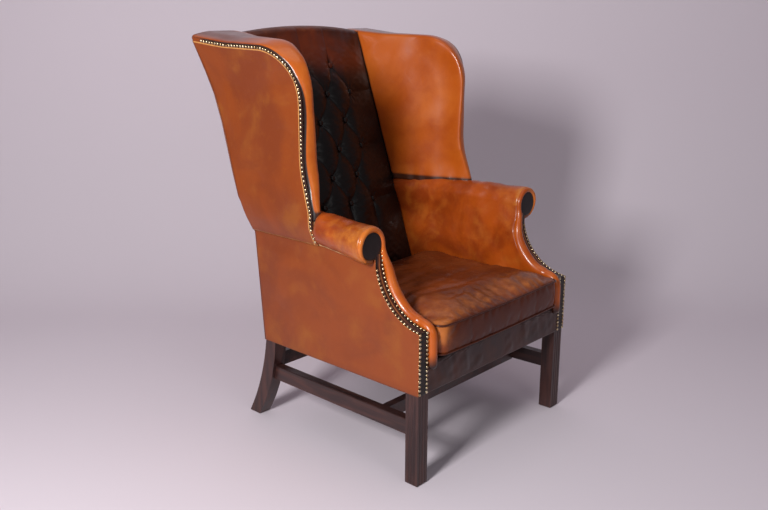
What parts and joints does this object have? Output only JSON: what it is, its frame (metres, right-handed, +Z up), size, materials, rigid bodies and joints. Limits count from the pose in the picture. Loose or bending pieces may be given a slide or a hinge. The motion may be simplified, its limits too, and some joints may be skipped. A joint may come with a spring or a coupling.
{
  "type": "wing armchair",
  "caption": "High-backed leather wing armchair with a deep-buttoned back, rolled arms, a loose seat cushion and square legs joined by stretchers.",
  "frame": {"origin": "floor level, at the middle of the chair's width and of its depth", "axes": "+X to the right as seen from the front, +Y from the front of the chair to its back, +Z up"},
  "size_m": [0.818, 0.8328, 1.1634],
  "materials": {
    "mahogany": "dark polished mahogany, waxed, with worn edges",
    "frame_beech": "plain beech, unfinished",
    "back_leather": "antiqued oxblood-brown leather, glossy, darkest in the folds",
    "arm_leather": "hand-rubbed golden brown leather, glossy",
    "side_leather": "mottled cognac leather, semi-gloss",
    "front_leather": "dark brown leather, satin",
    "cushion_leather": "creased reddish brown leather, glossy",
    "antique_brass": "antiqued brass, dull in the recesses",
    "horsehair": "curled hair stuffing under calico",
    "cushion_fill": "feather and down fill in a cambric case",
    "jute": "plain woven jute",
    "spring_steel": "drawn steel wire",
    "black_cambric": "thin black woven cloth",
    "platform_twill": "brown twill"
  },
  "bodies": {
    "chair": {"arm_board_left": "frame_beech", "arm_board_right": "frame_beech", "arm_facing_left": "front_leather", "arm_facing_right": "front_leather", "arm_post_left": "frame_beech", "arm_post_right": "frame_beech", "arm_stuffing_left": "horsehair", "arm_stuffing_right": "horsehair", "back_buttons": "back_leather", "back_canvas": "jute", "back_post_left": "frame_beech", "back_post_right": "frame_beech", "back_stay_rail": "frame_beech", "back_stuffing": "horsehair", "back_webbing": "jute", "corner_blocks": "frame_beech", "crest_rail": "frame_beech", "crest_stuffing": "horsehair", "dust_cover": "black_cambric", "facing_nails_left": "antique_brass", "facing_nails_right": "antique_brass", "front_border": "front_leather", "front_leg_left": "mahogany", "front_leg_right": "mahogany", "front_rail": "frame_beech", "inside_arm_left": "arm_leather", "inside_arm_right": "arm_leather", "inside_back": "back_leather", "inside_wing_left": "arm_leather", "inside_wing_right": "arm_leather", "medial_stretcher": "mahogany", "outside_arm_left": "side_leather", "outside_arm_right": "side_leather", "outside_back": "side_leather", "outside_wing_left": "side_leather", "outside_wing_right": "side_leather", "platform_cloth": "platform_twill", "rear_leg_left": "mahogany", "rear_leg_right": "mahogany", "rear_rail": "frame_beech", "rear_stretcher": "mahogany", "seat_canvas": "jute", "seat_springs": "spring_steel", "seat_stuffing": "horsehair", "seat_webbing": "jute", "side_rail_left": "frame_beech", "side_rail_right": "frame_beech", "side_stretcher_left": "mahogany", "side_stretcher_right": "mahogany", "wing_nails_left": "antique_brass", "wing_nails_right": "antique_brass", "wing_post_left": "frame_beech", "wing_post_right": "frame_beech", "wing_rail_left": "frame_beech", "wing_rail_right": "frame_beech", "wing_stuffing_left": "horsehair", "wing_stuffing_right": "horsehair"},
    "cushion": {"cushion_core": "cushion_fill", "cushion_cover": "cushion_leather", "cushion_welts": "cushion_leather"}
  },
  "joints": [
    {"name": "cushion_lift", "type": "slide", "parent": "chair", "child": "cushion", "axis": [0, 0, 1], "range_m": [0, 0.3]}
  ]
}
